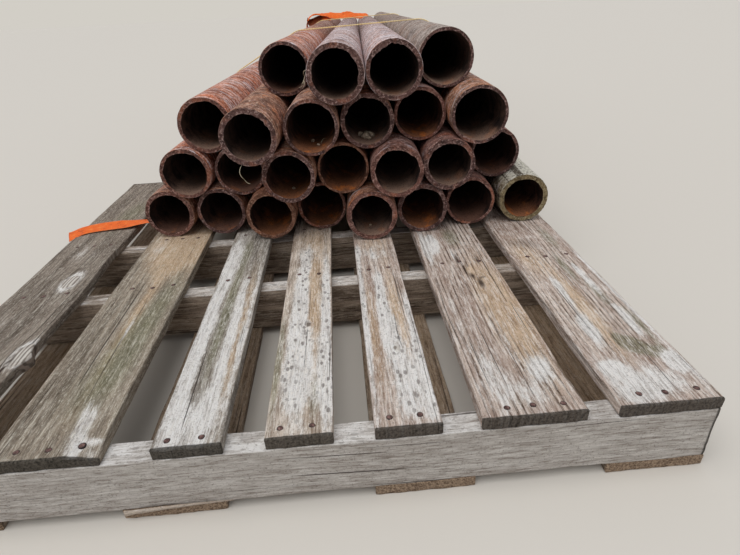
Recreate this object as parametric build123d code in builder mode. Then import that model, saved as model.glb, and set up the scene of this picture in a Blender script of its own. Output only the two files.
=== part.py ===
from build123d import *

import math
import os

os.makedirs("parts", exist_ok=True)

# Bundle of iron pipes, stacked in a nested pile that lies across two wooden pallets.
# Millimetres. +Y runs along the pipes, away from their front ends, +X to the right, +Z up.
# The origin is on the ground, midway between the two pallets.

# Pipes: most are one size, one has a thicker wall and three are larger outside
pipe_od = 114.3
pipe_wall = 8.56
pipe_length = 3048.0
large_pipe_od = 120.65
large_pipes = ("third_row_pipe_1", "third_row_pipe_6", "top_row_pipe_4")
thick_pipe_wall = 11.13
thick_pipes = ("bottom_row_pipe_8",)

# The pile: gaps between the bottom pipes beyond the contact gap, and the rows on them.
# The top row leaves the leftmost valley of the third row empty, and its last pipe is too
# large for its valley, so it leans on the pipe beside it.
contact_gap = 0.3
bottom_row_gaps = (8.0, 9.0, 0.0, 1.0, 1.5, 0.0, 9.5)
first_valleys = {"second_row": 0, "third_row": 0, "top_row": 1}
leaning_pipe = "top_row_pipe_4"
leaning_on = ("top_row_pipe_3", "third_row_pipe_6")

# How far each front end stands behind (+) or ahead (-) of the common front line
front_steps = {
    "bottom_row": (45.0, 45.0, 0.0, 45.0, -35.0, -5.0, 25.0, 25.0),
    "second_row": (35.0, 40.0, -40.0, 5.0, -40.0, -10.0, 75.0),
    "third_row": (50.0, -85.0, -40.0, 0.0, 45.0, -5.0),
    "top_row": (120.0, -45.0, -25.0, 80.0),
}

# Pallets: boards on top and below, with stringers on edge between them
wide_board = 139.7
narrow_board = 88.9
board_thickness = 17.5
deck_widths = (wide_board, wide_board, narrow_board, narrow_board, narrow_board, wide_board, wide_board)
deck_gaps = (64.0, 62.0, 51.0, 50.0, 50.0, 40.5)
pallet_depth = 1143.0
stringer_width = 38.0
stringer_height = 87.0
second_stringer_start = 409.0
third_stringer_start = 643.0
bottom_board_starts = (45.0, 342.0, 681.0)
pallet_yaw = 2.76

# Where the stack lies on the pallets
stack_side_step = 97.0
front_line_behind_centre = 45.0

# Twine loops, pulled tight round the whole stack between the pallets
twine_diameter = 4.0
twine_sides = 6
twine_distances = {"front_twine": 630.0, "rear_twine": 1800.0}

# Webbing strap: its slack lies over the top row and its tail on the near pallet
strap_width = 50.0
strap_thickness = 2.0
strap_slack_distance = 2000.0
slack_foot_angle = 42.0
slack_foot_rise = 40.0
slack_side_reach = 62.0
slack_height = 30.0
slack_end_angle = 58.0
slack_end_rise = 22.0
strap_bend_radius = 12.0
tail_from_pallet_front = 745.0
tail_drop = 16.0
tail_arch = 14.0
tail_edge_clearance = 5.0
tail_overhang = 16.0
tail_end_droop = 5.0

# Worked out from the sizes above
pallet_width = sum(deck_widths) + sum(deck_gaps)
deck_top = board_thickness + stringer_height + board_thickness
pallet_spacing = pipe_length + 2 * front_line_behind_centre
front_line = front_line_behind_centre - pallet_spacing / 2
stringer_starts = (0.0, second_stringer_start, third_stringer_start, pallet_depth - stringer_width)
bottom_starts = bottom_board_starts + (pallet_width - wide_board,)


def write_piece(builder, name):
    """Label one finished piece and write it to its own file."""
    builder.part.label = name
    export_step(builder.part, f"parts/{name}.step")


def outer_radius(pipe_name):
    """Outside radius of one pipe."""
    return (large_pipe_od if pipe_name in large_pipes else pipe_od) / 2


def bottom_row():
    """Pipes side by side on the deck, each as its centre's x and z and its radius."""
    radii = [outer_radius(f"bottom_row_pipe_{number}") for number in range(1, len(bottom_row_gaps) + 2)]
    places = [0.0]
    for gap, left, right in zip(bottom_row_gaps, radii, radii[1:]):
        places.append(places[-1] + left + contact_gap + gap + right)
    start = stack_side_step - places[-1] / 2
    return [(start + place, deck_top + contact_gap + radius, radius) for place, radius in zip(places, radii)]


def nested(left, right, radius):
    """A pipe that rests in the valley between two pipes below it."""
    spread = math.hypot(right[0] - left[0], right[1] - left[1])
    along = ((right[0] - left[0]) / spread, (right[1] - left[1]) / spread)
    to_left = left[2] + contact_gap + radius
    to_right = right[2] + contact_gap + radius
    foot = (to_left ** 2 - to_right ** 2 + spread ** 2) / (2 * spread)
    rise = math.sqrt(to_left ** 2 - foot ** 2)
    x = left[0] + along[0] * foot - along[1] * rise
    z = left[1] + along[1] * foot + along[0] * rise
    return (x, z, radius)


def stack_pipes():
    """Every pipe's centre and radius by name, row by row from the deck up."""
    below = bottom_row()
    pipes = {f"bottom_row_pipe_{number}": pipe for number, pipe in enumerate(below, 1)}
    for row, first_valley in first_valleys.items():
        current = []
        for number, (left, right) in enumerate(zip(below[first_valley:], below[first_valley + 1:]), 1):
            name = f"{row}_pipe_{number}"
            if name == leaning_pipe:
                left, right = (pipes[support] for support in leaning_on)
            pipes[name] = nested(left, right, outer_radius(name))
            current.append(pipes[name])
        below = current
    return pipes


def make_pipe(name, pipe, front_step):
    """A plain round tube, cut square at both ends."""
    x, z, radius = pipe
    wall = thick_pipe_wall if name in thick_pipes else pipe_wall
    start = Plane(origin=(x, front_line + front_step, z), z_dir=(0, 1, 0))
    with BuildPart() as tube:
        with BuildSketch(start):
            Circle(radius)
            Circle(radius - wall, mode=Mode.SUBTRACT)
        extrude(amount=pipe_length)
    write_piece(tube, name)


def make_board(name, pallet, left, front, base, size):
    """A sawn board, placed by its left front lower corner in the pallet's own frame."""
    width, depth, height = size
    with BuildPart() as board:
        with BuildSketch(pallet.offset(base)):
            with Locations((left + width / 2, front + depth / 2)):
                Rectangle(width, depth)
        extrude(amount=height)
    write_piece(board, name)


def pallet_frame(centre_y):
    """Frame at a pallet's left front corner on the ground, turned with the pallet."""
    middle = Plane(origin=(0, centre_y, 0)).rotated((0, 0, pallet_yaw))
    return middle.shift_origin(middle.from_local_coords(Vector(-pallet_width / 2, -pallet_depth / 2, 0)))


def make_pallet(name, pallet):
    """Bottom boards and deck boards that cross over and under four stringers on edge."""
    stringer_base = board_thickness
    deck_base = stringer_base + stringer_height
    for number, left in enumerate(bottom_starts, 1):
        size = (wide_board, pallet_depth, board_thickness)
        make_board(f"{name}_bottom_board_{number}", pallet, left, 0, 0, size)
    for number, front in enumerate(stringer_starts, 1):
        size = (pallet_width, stringer_width, stringer_height)
        make_board(f"{name}_stringer_{number}", pallet, 0, front, stringer_base, size)
    left = 0.0
    for number, width in enumerate(deck_widths, 1):
        size = (width, pallet_depth, board_thickness)
        make_board(f"{name}_deck_board_{number}", pallet, left, 0, deck_base, size)
        left += width + (deck_gaps + (0.0,))[number - 1]


def tangent_bearing(first, second):
    """Direction in degrees of the line that touches two circles, both on its left."""
    run = (second[0] - first[0], second[1] - first[1])
    lean = math.asin((first[2] - second[2]) / math.hypot(*run))
    return math.degrees(math.atan2(run[1], run[0]) + lean)


def touched_circles(circles):
    """The circles that a tight loop touches, in order, each with its bearing to the next."""
    current = max(circles, key=lambda circle: circle[0] + circle[2])
    bearing = 90.0
    touched = []
    while not touched or current != touched[0][0]:
        choices = []
        for circle in circles:
            if circle != current:
                onward = tangent_bearing(current, circle)
                turn = round(onward - bearing, 6) % 360
                distance = math.hypot(circle[0] - current[0], circle[1] - current[1])
                choices.append((turn, -distance, onward, circle))
        onward, following = min(choices)[2:]
        touched.append((current, onward))
        current = following
        bearing = onward
    return touched


def make_twine(name, distance, pipes):
    """A tight loop: straight between the outer pipes, and round each of them in an arc."""
    across = Plane(origin=(0, front_line + distance, 0), x_dir=(1, 0, 0), z_dir=(0, -1, 0))
    reach = contact_gap + twine_diameter / 2
    touched = touched_circles(list(pipes))
    arrival = touched[-1][1]
    arcs = []
    with BuildSketch(across) as loop:
        with BuildLine():
            for (x, z, radius), departure in touched:
                arcs.append(CenterArc((x, z), radius + reach, arrival - 90, (departure - arrival) % 360))
                arrival = departure
            for arc, following in zip(arcs, arcs[1:] + arcs[:1]):
                Line(arc @ 1, following @ 0)
        make_face()
    path = loop.sketch.faces()[0].outer_wire()
    with BuildPart() as twine:
        with BuildSketch(Plane(origin=path @ 0, z_dir=path % 0)) as section:
            RegularPolygon(radius=twine_diameter / 2, side_count=twine_sides)
        sweep(path=path)
    write_piece(twine, name)
    share = twine.part.volume / (section.sketch.area * path.length)
    print(f"{name}: {path.length:.0f} mm long, {share:.4f} of its section times its length")


def point_on(pipe, angle, rise=0.0):
    """A point at an angle round a pipe, at its surface or a rise above it."""
    x, z, radius = pipe
    turn = math.radians(angle)
    distance = radius + contact_gap + rise
    return (x + distance * math.cos(turn), z + distance * math.sin(turn))


def make_strap(name, plane, points):
    """Flat webbing whose edge follows the points, with a round bend at each corner."""
    with BuildPart() as strap:
        with BuildSketch(plane):
            with BuildLine() as run:
                FilletPolyline(*points, radius=strap_bend_radius)
            trace(lines=run.line, line_width=strap_thickness)
        extrude(amount=strap_width)
    write_piece(strap, name)


pipes = stack_pipes()
for pipe_name, pipe in pipes.items():
    row, number = pipe_name.split("_pipe_")
    make_pipe(pipe_name, pipe, front_steps[row][int(number) - 1])

near_pallet = pallet_frame(-pallet_spacing / 2)
far_pallet = pallet_frame(pallet_spacing / 2)
make_pallet("near_pallet", near_pallet)
make_pallet("far_pallet", far_pallet)

for twine_name, distance in twine_distances.items():
    make_twine(twine_name, distance, pipes.values())

# The slack stands on the third row's first pipe, arches over the top row's first three
# pipes and ends on the third of them.
foot_pipe = pipes["third_row_pipe_1"]
first_top, second_top, third_top = (pipes[f"top_row_pipe_{number}"] for number in (1, 2, 3))
first_top_side = first_top[0] - first_top[2]
arch_z = first_top[1] + first_top[2] + slack_height
slack_points = (
    point_on(foot_pipe, slack_foot_angle),
    point_on(foot_pipe, slack_foot_angle, slack_foot_rise),
    (first_top_side - slack_side_reach, first_top[1] + slack_height),
    (first_top_side, arch_z),
    (second_top[0], arch_z - slack_height / 3),
    point_on(third_top, slack_end_angle, slack_end_rise),
    point_on(third_top, slack_end_angle),
)
slack_plane = Plane(origin=(0, front_line + strap_slack_distance, 0), x_dir=(1, 0, 0), z_dir=(0, -1, 0))
make_strap("strap_slack", slack_plane, slack_points)

# The tail comes up through the first gap of the near deck and lies over its first board.
tail_gap_middle = wide_board + deck_gaps[0] / 2
tail_seat = deck_top + contact_gap + strap_thickness / 2
tail_points = (
    (tail_gap_middle, tail_seat - tail_drop),
    (tail_gap_middle, tail_seat + tail_arch),
    (wide_board - tail_arch, tail_seat),
    (-tail_edge_clearance, tail_seat),
    (-tail_overhang, tail_seat - tail_end_droop),
)
tail_origin = near_pallet.from_local_coords(Vector(0, tail_from_pallet_front + strap_width, 0))
tail_plane = Plane(origin=tail_origin, x_dir=near_pallet.x_dir, z_dir=-near_pallet.y_dir)
make_strap("strap_tail", tail_plane, tail_points)

print(f"pallet {pallet_width:.1f} x {pallet_depth:.1f}, deck top at {deck_top:.1f}")
print(f"pallet spacing {pallet_spacing:.1f}, front line at {front_line:.1f}")
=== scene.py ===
# %% [markdown]
# # A bundle of iron pipes on weathered pallets
# Twenty-five rusty pipes lie in a nested pile across two wooden pallets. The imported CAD
# model gives every piece its place and size. This lesson gives each piece the skin that
# the real one has: cut pipe mouths, scale and rust, split grey boards, nails, twine and
# webbing. Shapes are worked out as whole numpy arrays, and finishes are node materials.

import math

import bpy
import numpy as np
from mathutils import Matrix, Vector


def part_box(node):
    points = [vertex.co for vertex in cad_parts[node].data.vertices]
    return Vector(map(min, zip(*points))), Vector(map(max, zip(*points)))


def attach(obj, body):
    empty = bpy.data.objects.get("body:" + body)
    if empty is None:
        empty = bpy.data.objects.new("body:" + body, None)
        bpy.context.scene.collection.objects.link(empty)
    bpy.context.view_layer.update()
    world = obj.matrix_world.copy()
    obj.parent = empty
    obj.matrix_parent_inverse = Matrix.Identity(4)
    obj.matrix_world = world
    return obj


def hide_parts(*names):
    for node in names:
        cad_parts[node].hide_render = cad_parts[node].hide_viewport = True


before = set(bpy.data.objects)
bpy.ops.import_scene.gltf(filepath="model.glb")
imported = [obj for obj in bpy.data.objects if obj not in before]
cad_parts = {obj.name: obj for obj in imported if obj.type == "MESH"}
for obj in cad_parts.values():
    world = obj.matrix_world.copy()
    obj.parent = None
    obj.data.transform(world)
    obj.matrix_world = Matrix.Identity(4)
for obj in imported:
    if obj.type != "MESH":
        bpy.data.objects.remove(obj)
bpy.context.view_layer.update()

# %% [markdown]
# ## Camera
# The real picture was taken with a wide phone lens, about a metre from the pipe mouths
# and held a little crooked. The values come from fitting a pinhole camera to the edges of
# the boards and the pipe mouths, so every later step can be compared with the picture.

# %% Place the camera
picture_width = 740
focal_pixels = 494.11
sensor_width = 36.0
camera_place = Vector((0.1458, -2.5844, 0.589))
pitch_down = math.radians(28.811)
turn_left = math.radians(0.002)
roll = math.radians(-3.119)

level_right = Vector((math.cos(turn_left), math.sin(turn_left), 0))
level_ahead = Vector((-math.sin(turn_left), math.cos(turn_left), 0))
ahead = level_ahead * math.cos(pitch_down) - Vector((0, 0, math.sin(pitch_down)))
above = level_ahead * math.sin(pitch_down) + Vector((0, 0, math.cos(pitch_down)))
right = level_right * math.cos(roll) + above * math.sin(roll)
up = above * math.cos(roll) - level_right * math.sin(roll)

camera_data = bpy.data.cameras.new("camera")
camera_data.sensor_width = sensor_width
camera_data.lens = focal_pixels / picture_width * sensor_width
camera_data.clip_end = 60
camera = bpy.data.objects.new("camera", camera_data)
bpy.context.scene.collection.objects.link(camera)
camera_turn = Matrix((right, up, -ahead)).transposed().to_4x4()
camera.matrix_world = Matrix.Translation(camera_place) @ camera_turn
bpy.context.scene.camera = camera
bpy.context.scene.view_settings.view_transform = "Standard"
print(f"lens {camera_data.lens:.2f} mm")

# %% [markdown]
# ## Helpers for shapes
# Rust, splinters and saw marks are irregular, but not pure chance: nearby points look
# alike. Value noise gives that. Random numbers sit on a lattice, and every point blends
# the eight numbers round it. The numbers come from a formula, so each run is the same.
# Lengths in the helpers are millimetres, and a mesh is scaled to metres as it is made.

# %% Noise
metres = 0.001


def cad_box(node):
    """The lowest and the highest corner of a CAD node, in millimetres."""
    return tuple(np.array(corner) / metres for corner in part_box(node))


def xyz(x, y, z):
    """Points from three coordinates, each an array or a plain number."""
    return np.stack(np.broadcast_arrays(x, y, z), -1)


def lattice_value(cell, seed):
    """One number from 0 to 1 for each lattice cell: the fraction of a large sine."""
    x, y, z = np.moveaxis(cell, -1, 0)
    large = np.sin(x * 127.1 + y * 311.7 + z * 74.7 + seed * 19.19) * 43758.5453
    return large - np.floor(large)


def noise(points, size, seed):
    """Smooth noise from -1 to 1. Each point blends its eight lattice corners, weighted by
    3 f^2 - 2 f^3 of its fraction f along each axis. size is the patch size per axis."""
    scaled = points / np.asarray(size, float)
    cell = np.floor(scaled)
    fraction = scaled - cell
    weight = fraction * fraction * (3 - 2 * fraction)
    total = np.zeros(points.shape[:-1])
    for corner in np.ndindex(2, 2, 2):
        share = np.prod(np.where(corner, weight, 1 - weight), axis=-1)
        total += share * lattice_value(cell + corner, seed)
    return 2 * total - 1


def rough(points, size, seed, layers=3):
    """Layers of noise, each half the size and half the strength of the one before."""
    size = np.asarray(size, float)
    return sum(noise(points, size / 2**k, seed + k) / 2**k for k in range(layers))


def smooth_step(low, high, value):
    """0 below low, 1 above high and 3 t^2 - 2 t^3 between them."""
    t = np.clip((value - low) / (high - low), 0, 1)
    return t * t * (3 - 2 * t)


# %% [markdown]
# Most pieces here are swept: an outline is carried along a line, and each step adds a row
# to a grid of points. The grid closes on itself, or ends in a pole. So one function that
# lists the corners of a grid's cells serves the pipes, boards, nails, twine and webbing.

# %% Meshes from grids
def outward(points, quads):
    """The quads, turned round as a whole if the volume inside them comes out negative."""
    a, b, c, d = (points[quads[:, k]] for k in range(4))
    volume = sum(np.einsum("ij,ij->i", a, np.cross(*pair)).sum() for pair in ((b, c), (c, d)))
    return quads if volume > 0 else quads[:, ::-1]


def joined(parts):
    """One set of points and quads from several."""
    points, quads, total = [], [], 0
    for part_points, part_quads in parts:
        points.append(part_points)
        quads.append(part_quads + total)
        total += len(part_points)
    return np.concatenate(points), np.concatenate(quads)


def grid_quads(row_count, column_count, rows_close):
    """Four corner numbers for each cell of a grid whose columns close on themselves."""
    row = np.arange(row_count if rows_close else row_count - 1)[:, None]
    column = np.arange(column_count)[None, :]
    following = (column + 1) % column_count
    below = (row + 1) % row_count
    corners = (row * column_count + column, row * column_count + following,
               below * column_count + following, below * column_count + column)
    return np.stack([np.broadcast_to(c, (len(row), column_count)) for c in corners],
                    -1).reshape(-1, 4)


def capped_quads(row_count, column_count):
    """The grid's cells and a fan to a pole at each end. The two poles are the two points
    that follow the grid's own."""
    turn = np.arange(column_count)
    following = (turn + 1) % column_count
    foot = (row_count - 1) * column_count
    first, last = (np.full(column_count, row_count * column_count + pole) for pole in (0, 1))
    return np.concatenate([grid_quads(row_count, column_count, rows_close=False),
                           np.stack([following, turn, first, first], -1),
                           np.stack([foot + turn, foot + following, last, last], -1)])


def add_piece(name, points, quads, materials, slot, cad_node=None, attributes=None,
              face_slot=None):
    """A mesh object from points in millimetres. A quad whose last two corners are the
    same point is a triangle. The piece rides on the only body and replaces its CAD node."""
    cells = [list(dict.fromkeys(q)) for q in outward(points, quads).tolist()]
    mesh = bpy.data.meshes.new(name)
    mesh.from_pydata((points * metres).tolist(), [], cells)
    for material in materials:
        mesh.materials.append(material)
    if face_slot is not None:
        mesh.polygons.foreach_set("material_index", face_slot.astype(np.int32))
    mesh.polygons.foreach_set("use_smooth", np.ones(len(cells), bool))
    for key, value in (attributes or {}).items():
        kind, field = ("FLOAT_VECTOR", "vector") if value.ndim == 2 else ("FLOAT", "value")
        layer = mesh.attributes.new(key, kind, "POINT")
        layer.data.foreach_set(field, value.astype(np.float32).ravel())
    mesh.update()
    piece = bpy.data.objects.new(name, mesh)
    bpy.context.scene.collection.objects.link(piece)
    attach(piece, "root")
    if cad_node:
        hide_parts(cad_node)
    return piece


# %% [markdown]
# ## Helpers for finishes
# A node material reads like a recipe: noise, thresholds and mixes. One small class keeps
# each recipe short. Its methods add a node, fill its sockets with numbers or with other
# nodes' outputs, and give back the output, so that one line is one step of the recipe.

# %% Node recipes
def paint(red, green, blue):
    """A colour written as 0 to 255 on screen, turned into linear light."""
    values = [c / 255 for c in (red, green, blue)]
    linear = [c / 12.92 if c <= 0.04045 else ((c + 0.055) / 1.055) ** 2.4 for c in values]
    return (*linear, 1.0)


def paints(rows):
    """Several colours at once."""
    return [paint(*row) for row in rows]


class Recipe:
    """A material and short calls that add nodes to it."""

    def __init__(self, name):
        self.material = bpy.data.materials.new(name)
        self.material.use_nodes = True
        self.tree = self.material.node_tree
        self.shader = self.tree.nodes["Principled BSDF"]

    def fill(self, socket, value):
        """Link another node's output to a socket, or set a plain value on it."""
        if isinstance(value, bpy.types.NodeSocket):
            self.tree.links.new(value, socket)
        else:
            socket.default_value = value

    def node(self, kind, sockets, **settings):
        """A new node with its settings made and its sockets filled. Gives its outputs."""
        node = self.tree.nodes.new(f"ShaderNode{kind}")
        for name, value in settings.items():
            setattr(node, name, value)
        for name, value in sockets.items():
            self.fill(node.inputs[name], value)
        return node.outputs

    def place(self):
        return self.node("TexCoord", {})["Object"]

    def attribute(self, name, output="Fac"):
        return self.node("Attribute", {}, attribute_name=name)[output]

    def stretch(self, vector, scale, shift=(0, 0, 0)):
        return self.node("Mapping", {"Vector": vector, "Scale": scale, "Location": shift})[0]

    def join(self, x, y, z):
        return self.node("CombineXYZ", {0: x, 1: y, 2: z})[0]

    def split(self, vector):
        return self.node("SeparateXYZ", {0: vector})

    def math(self, operation, a, b=0.0, clamp=False):
        return self.node("Math", {0: a, 1: b}, operation=operation, use_clamp=clamp)[0]

    def times(self, a, b):
        return self.math("MULTIPLY", a, b)

    def plus(self, a, b, clamp=False):
        return self.math("ADD", a, b, clamp)

    def less(self, a, b):
        return self.math("SUBTRACT", a, b)

    def grains(self, vector, scale, detail=4.0, roughness=0.55, distortion=0.0):
        return self.node("TexNoise", {
            "Vector": vector, "Scale": scale, "Detail": detail, "Roughness": roughness,
            "Distortion": distortion})["Fac"]

    def drawn(self, vector, scale, detail=4.0, roughness=0.55, distortion=0.0,
              shift=(0, 0, 0)):
        """Grains drawn out: scale says how many fit in a metre along each axis."""
        stretched = self.stretch(vector, scale, shift)
        return self.grains(stretched, 1.0, detail, roughness, distortion)

    def cells(self, vector, scale):
        return self.node("TexVoronoi", {"Vector": vector, "Scale": scale})["Distance"]

    def between(self, value, low, high):
        """0 at low and 1 at high, also when low is the larger."""
        rises = low < high
        return self.node("MapRange", {
            "Value": value, "From Min": min(low, high), "From Max": max(low, high),
            "To Min": 0.0 if rises else 1.0, "To Max": 1.0 if rises else 0.0,
        }, interpolation_type="SMOOTHSTEP")[0]

    def mix(self, share, under, over, blend="MIX"):
        sockets = {"Factor": share, 6: under, 7: over}
        return self.node("Mix", sockets, data_type="RGBA", blend_type=blend)[2]

    def layer(self, under, mask, strength, over):
        """A colour laid over another where the mask is 1, at a strength up to 1."""
        return self.mix(self.times(mask, strength), under, over)

    def bump(self, height, distance, strength=1.0):
        """Let the height, as a share of the distance in metres, tilt the shading."""
        sockets = {"Height": height, "Distance": distance, "Strength": strength}
        self.fill(self.shader.inputs["Normal"], self.node("Bump", sockets)[0])

    def finish(self, colour, roughness, specular=0.3):
        self.fill(self.shader.inputs["Base Color"], colour)
        self.fill(self.shader.inputs["Roughness"], roughness)
        self.shader.inputs["Specular IOR Level"].default_value = specular
        return self.material


# %% [markdown]
# ## Rusted iron
# Old pipe has no single brown. Under the loose rust lies dark mill scale, bright dust
# settles on top, and chains leave streaks round the pipe. So the skin starts from a dark
# and a middle tone, gets streaks that are short along the pipe and long round it, then
# pale flakes, then fine speckle. Every pipe takes its four tones from a row of a table.
# Near the mouth the tones are brighter, and the pale streaks and flakes stronger, than the
# rust itself: that is a painted reflection of the sky seen at a low angle, and behind the
# mouth it fades into plain brown rust.

# %% Pipe skins
skin_tones = {
    "red": ((122, 68, 48), (206, 130, 94), (246, 224, 218), (230, 124, 72)),
    "lilac": ((120, 90, 84), (208, 180, 172), (252, 244, 250), (210, 136, 94)),
    "grey": ((110, 94, 85), (182, 165, 154), (228, 218, 210), (152, 112, 88)),
    "brown": ((94, 60, 47), (172, 122, 98), (230, 202, 182), (214, 136, 86)),
    "ochre": ((96, 65, 47), (186, 128, 94), (226, 208, 202), (222, 134, 70)),
    "pink": ((82, 53, 47), (146, 104, 92), (202, 170, 160), (176, 104, 76)),
    "olive": ((66, 53, 38), (160, 145, 116), (222, 218, 204), (134, 102, 66)),
    "orange": ((86, 54, 40), (154, 104, 81), (196, 158, 135), (194, 114, 72)),
}
common_rust = ((80, 55, 44), (134, 97, 79))


def pipe_skin(tone, seed, streaks=0.5, seams=(), painted_sheen_fade=0.3, grooved=0.0):
    """The outside of a pipe: tone is a row of the table, and streaks is how strongly the
    marks that run round the pipe show. They are paler and also smoother, so that they
    mirror the sky when they are seen at a low angle, and part of their paleness is a
    painted reflection of the sky. seams are places along the pipe, in metres, where a thin
    dark line runs all round it. painted_sheen_fade is how far the tone fades into common
    brown rust behind the mouth, since the brighter tone near the mouth is a painted
    reflection of the sky. grooved darkens lines along the pipe and makes its top paler."""
    dark, middle, pale, fresh = paints(skin_tones[tone])
    r = Recipe(f"skin_{tone}_{seed}")
    along = r.split(r.place())[1]
    place = r.stretch(r.place(), (1, 1, 1), (seed * 3.7, seed * 1.3, seed * 2.1))
    blotch = r.grains(place, 30, 6, 0.66)
    patches = r.between(blotch, 0.36, 0.6)
    colour = r.mix(patches, dark, middle)
    rust = r.between(r.drawn(place, (16, 22, 16), 6, 0.7), 0.52, 0.64)
    colour = r.layer(colour, rust, 0.75, fresh)
    # Painted sky reflection: the brighter tone holds near the mouth and fades into plain rust
    # behind.
    behind = r.between(along, -0.95, -0.25)
    colour = r.layer(colour, behind, painted_sheen_fade, r.mix(patches, *paints(common_rust)))

    # The pale marks and flakes, partly a painted reflection of the sky, also fade behind the
    # mouth.
    showing = r.less(streaks, r.times(behind, 0.65 * streaks))
    dust_and_painted_light = r.between(r.drawn(place, (9, 5, 9)), 0.4, 0.58)
    marks = r.times(r.between(r.drawn(place, (5, 42, 5), 6, 0.62, 0.4), 0.5, 0.62), dust_and_painted_light)
    thin_marks = r.drawn(place, (11, 115, 11), 5, 0.6, 0.5)
    both = r.times(r.plus(marks, r.between(thin_marks, 0.53, 0.64), True), showing)
    colour = r.layer(colour, both, 0.8, pale)
    colour = r.layer(colour, r.between(thin_marks, 0.46, 0.38), 0.25 + 0.55 * streaks, dark)
    flake = r.between(r.drawn(place, (30, 100, 30), 3, 0.55, 0.3), 0.555, 0.61)
    flaked = r.between(r.drawn(place, (8, 6, 8), 2, shift=(5, 5, 5)), 0.46, 0.56)
    colour = r.mix(r.times(r.times(flake, flaked), showing), colour, paint(226, 224, 232))

    if grooved:
        crest = r.between(r.attribute("low"), -0.4, -0.9)
        colour = r.layer(colour, crest, 0.8, pale)
        lines = r.between(r.drawn(place, (66, 0.8, 66), 2, 0.5), 0.56, 0.6)
        colour = r.layer(colour, lines, grooved, dark)
    speckle = r.grains(place, 150, 4, 0.8)
    colour = r.layer(colour, r.between(speckle, 0.49, 0.4), 0.85, dark)
    colour = r.layer(colour, r.between(speckle, 0.55, 0.63), 0.75, pale)
    if seams:
        run = r.plus(along, r.times(r.drawn(place, (14, 3, 14), 3), 0.06))
    for seam in seams:
        away = r.math("ABSOLUTE", r.less(run, seam))
        colour = r.layer(colour, r.between(away, 0.006, 0.002), 0.8, paint(62, 48, 44))
    height = r.plus(r.times(blotch, 0.6), r.times(speckle, 0.6))
    r.bump(r.plus(height, r.times(thin_marks, 0.4)), 0.0024, 0.9)
    return r.finish(colour, r.less(0.84, r.times(both, 0.25)), 0.26)


# The third tone of a row is the bottom near the mouth: dust, and painted light falling in.
bore_tones = {
    "orange": ((34, 22, 18), (84, 52, 40), (152, 100, 70)),
    "tan": ((34, 26, 24), (84, 62, 53), (154, 124, 107)),
    "dark": ((29, 21, 19), (72, 48, 40), (118, 84, 70)),
}


def pipe_bore(tone, seed):
    """The inside: dark scale. Its bottom near the mouth is paler: partly loose rust and dust,
    and partly painted light that falls in through the mouth.
    """
    dark, middle, bottom = paints(bore_tones[tone])
    r = Recipe(f"bore_{tone}_{seed}")
    place = r.place()
    blotch = r.grains(place, 38, 5, 0.65)
    colour = r.mix(r.between(blotch, 0.35, 0.65), dark, middle)
    # Painted light with some dust: the bottom turns paler within 300 mm of the mouth.
    near = r.between(r.attribute("deep"), 300, 5)
    low = r.plus(r.attribute("low"), r.times(blotch, 0.5))
    dust_and_painted_light = r.times(r.times(r.between(low, 0.7, 1.25), near), 0.95)
    colour = r.mix(dust_and_painted_light, colour, bottom)
    drift = r.grains(r.stretch(place, (1, 0.5, 1), (seed, seed, seed)), 30, 4, 0.6)
    flush = r.times(r.between(drift, 0.52, 0.64), dust_and_painted_light)
    colour = r.layer(colour, flush, 0.95 if tone == "orange" else 0.25, paint(200, 116, 58))
    speckle = r.grains(place, 300, 3, 0.7)
    colour = r.layer(colour, r.between(speckle, 0.5, 0.38), 0.5, dark)
    r.bump(r.plus(blotch, r.times(speckle, 0.5)), 0.0015, 0.8)
    return r.finish(colour, 0.9, 0.2)


cut_tones = {
    "plum": ((64, 44, 41), (108, 78, 72), (190, 160, 152), (154, 98, 76)),
    "red": ((78, 51, 44), (130, 90, 80), (200, 162, 150), (174, 108, 78)),
    "orange": ((86, 57, 45), (142, 99, 80), (200, 158, 134), (188, 118, 80)),
    "olive": ((78, 64, 44), (142, 125, 94), (190, 176, 142), (132, 100, 64)),
}


def cut_face(tone, seed):
    """The cut end: dark and pitted, with small bright specks where rust has flaked off, and
    pale rims that are partly worn by rubbing and partly a painted highlight on the edges."""
    dark, middle, speck, fresh = paints(cut_tones[tone])
    r = Recipe(f"cut_{tone}_{seed}")
    place = r.stretch(r.place(), (1, 1, 1), (seed * 1.9, seed * 0.7, seed * 2.3))
    blotch = r.grains(place, 48, 5, 0.68)
    colour = r.mix(r.between(blotch, 0.3, 0.6), dark, middle)
    colour = r.layer(colour, r.between(r.grains(place, 24, 3, 0.6), 0.53, 0.65), 0.6, fresh)
    # The pale rims are partly wear and partly a painted highlight where the edges catch light.
    worn = r.times(r.attribute("rim"), r.between(r.grains(place, 90, 4, 0.7), 0.44, 0.6))
    colour = r.layer(colour, worn, 0.75, speck)
    fine = r.grains(place, 210, 4, 0.8)
    colour = r.layer(colour, r.between(fine, 0.54, 0.62), 0.85, speck)
    colour = r.layer(colour, r.between(fine, 0.47, 0.38), 0.85, dark)
    r.bump(r.plus(blotch, fine), 0.0035, 1.0)
    return r.finish(colour, 0.88, 0.25)


# %% [markdown]
# ## Pipes
# A plain tube would be one cylinder inside another. The real mouths were cut with a torch
# or a wheel, so each ring is wavy, some are thin with a bevel, and some carry a jagged lip
# of slag. One closed grid makes the whole tube: down the outside, over the far ring, back
# up the bore and over the near ring. Each point is then pushed by noise. Nothing is pushed
# outwards, because the neighbours lie only a third of a millimetre away.

# %% Pipe shape
ring_steps = 150
mouth_depth = 26.0
mouth_inset = 1.6
near_mouth = np.array([1.2, 3.0, 6.0, 11.0, 18.0, 28.0, 45.0])
body_start = 75.0
across_wall = np.array([0.0, 0.12, 0.3, 0.5, 0.7, 0.88, 1.0])


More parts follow.
